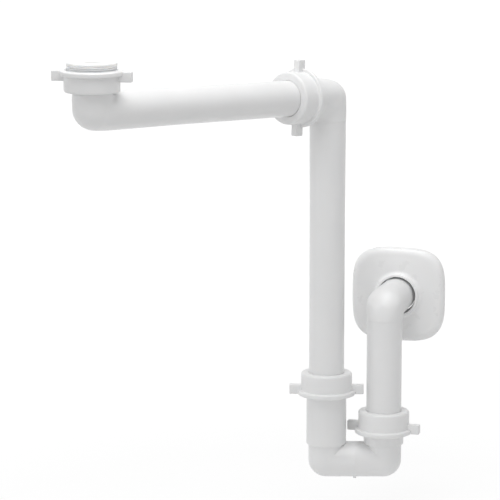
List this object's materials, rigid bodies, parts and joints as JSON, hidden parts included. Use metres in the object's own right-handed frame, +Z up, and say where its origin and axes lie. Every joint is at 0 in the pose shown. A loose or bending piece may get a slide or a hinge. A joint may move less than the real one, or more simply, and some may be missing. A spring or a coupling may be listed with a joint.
{
  "type": "space saving sink trap",
  "caption": "White plastic washbasin trap: wing-nut inlet, long sloping arm to the wall, down pipe, low U-bend with wing nuts, and an outlet through a rounded-square wall rosette.",
  "frame": {"origin": "on the inlet's axis, at the top face of the seal that meets the basin waste", "axes": "+Z up along the inlet's axis towards the basin waste, +Y into the wall, +X to the right along the wall"},
  "size_m": [0.2557, 0.4121, 0.4106],
  "materials": {
    "inlet_arm": "satin moulded white",
    "inlet_seal": "soft white",
    "inlet_nut": "satin moulded white",
    "down_pipe": "satin moulded white",
    "arm_seal": "matt rubber",
    "arm_slip_ring": "satin moulded white",
    "arm_nut": "satin moulded white",
    "trap_bend": "satin moulded white",
    "trap_inlet_seal": "matt rubber",
    "trap_inlet_slip_ring": "satin moulded white",
    "trap_inlet_nut": "satin moulded white",
    "trap_outlet_seal": "matt rubber",
    "trap_outlet_slip_ring": "satin moulded white",
    "trap_outlet_nut": "satin moulded white",
    "outlet_pipe": "satin moulded white",
    "wall_rosette": "satin moulded white"
  },
  "bodies": {
    "inlet": {"inlet_arm": "inlet_arm", "inlet_seal": "inlet_seal"},
    "inlet_nut": {"inlet_nut": "inlet_nut"},
    "arm_seal": {"arm_seal": "arm_seal"},
    "down_pipe": {"down_pipe": "down_pipe"},
    "arm_slip_ring": {"arm_slip_ring": "arm_slip_ring"},
    "arm_nut": {"arm_nut": "arm_nut"},
    "trap_inlet_seal": {"trap_inlet_seal": "trap_inlet_seal"},
    "trap_bend": {"trap_bend": "trap_bend"},
    "trap_inlet_slip_ring": {"trap_inlet_slip_ring": "trap_inlet_slip_ring"},
    "trap_inlet_nut": {"trap_inlet_nut": "trap_inlet_nut"},
    "trap_outlet_seal": {"trap_outlet_seal": "trap_outlet_seal"},
    "trap_outlet_slip_ring": {"trap_outlet_slip_ring": "trap_outlet_slip_ring"},
    "trap_outlet_nut": {"trap_outlet_nut": "trap_outlet_nut"},
    "outlet_pipe": {"outlet_pipe": "outlet_pipe"},
    "wall_rosette": {"wall_rosette": "wall_rosette"}
  },
  "joints": [
    {"name": "inlet_nut_lift", "type": "slide", "parent": "inlet", "child": "inlet_nut", "axis": [0, 0, 1], "range_m": [0, 0.0139]},
    {"name": "arm_length", "type": "slide", "parent": "inlet", "child": "arm_seal", "axis": [0.422, 0.9051, -0.0523], "range_m": [-0.0025, 0.018]},
    {"name": "arm_swivel", "type": "hinge", "parent": "arm_seal", "child": "down_pipe", "pos_m": [0.12763, 0.2737, -0.05753], "axis": [0.422, 0.9051, -0.0523], "range_deg": [-90, 90]},
    {"name": "arm_slip_ring_travel", "type": "slide", "parent": "down_pipe", "child": "arm_slip_ring", "axis": [-0.422, -0.9051, 0.0523], "range_m": [0, 0.009]},
    {"name": "arm_nut_turn", "type": "hinge", "parent": "arm_slip_ring", "child": "arm_nut", "pos_m": [0.12763, 0.2737, -0.05753], "axis": [-0.422, -0.9051, 0.0523], "range_deg": [0, 1400]},
    {"name": "trap_height", "type": "slide", "parent": "down_pipe", "child": "trap_inlet_seal", "axis": [0, 0, 1], "range_m": [-0.02, 0.025]},
    {"name": "trap_swivel", "type": "hinge", "parent": "trap_inlet_seal", "child": "trap_bend", "pos_m": [0.12763, 0.2737, -0.3926], "axis": [0, 0, 1], "range_deg": [-180, 180]},
    {"name": "trap_inlet_slip_ring_travel", "type": "slide", "parent": "trap_bend", "child": "trap_inlet_slip_ring", "axis": [0, 0, 1], "range_m": [0, 0.009]},
    {"name": "trap_inlet_nut_turn", "type": "hinge", "parent": "trap_inlet_slip_ring", "child": "trap_inlet_nut", "pos_m": [0.12763, 0.2737, -0.3926], "axis": [0, 0, 1], "range_deg": [0, 1400]},
    {"name": "outlet_swivel", "type": "hinge", "parent": "trap_bend", "child": "trap_outlet_seal", "pos_m": [0.1781, 0.28818, -0.3926], "axis": [0, 0, 1], "range_deg": [-150, 30]},
    {"name": "outlet_height", "type": "slide", "parent": "trap_outlet_seal", "child": "outlet_pipe", "axis": [0, 0, 1], "range_m": [-0.006, 0.008]},
    {"name": "trap_outlet_slip_ring_travel", "type": "slide", "parent": "trap_bend", "child": "trap_outlet_slip_ring", "axis": [0, 0, 1], "range_m": [0, 0.009]},
    {"name": "trap_outlet_nut_turn", "type": "hinge", "parent": "trap_outlet_slip_ring", "child": "trap_outlet_nut", "pos_m": [0.1781, 0.28818, -0.3926], "axis": [0, 0, 1], "range_deg": [0, 1400]},
    {"name": "rosette_slide", "type": "slide", "parent": "outlet_pipe", "child": "wall_rosette", "axis": [0, 1, 0], "range_m": [-0.01, 0.03]}
  ],
  "couplings": [
    {"joint": "arm_slip_ring_travel", "follows": "arm_nut_turn", "m_per_rad": 0.00036749},
    {"joint": "trap_inlet_slip_ring_travel", "follows": "trap_inlet_nut_turn", "m_per_rad": 0.00036749},
    {"joint": "trap_outlet_slip_ring_travel", "follows": "trap_outlet_nut_turn", "m_per_rad": 0.00036749}
  ]
}
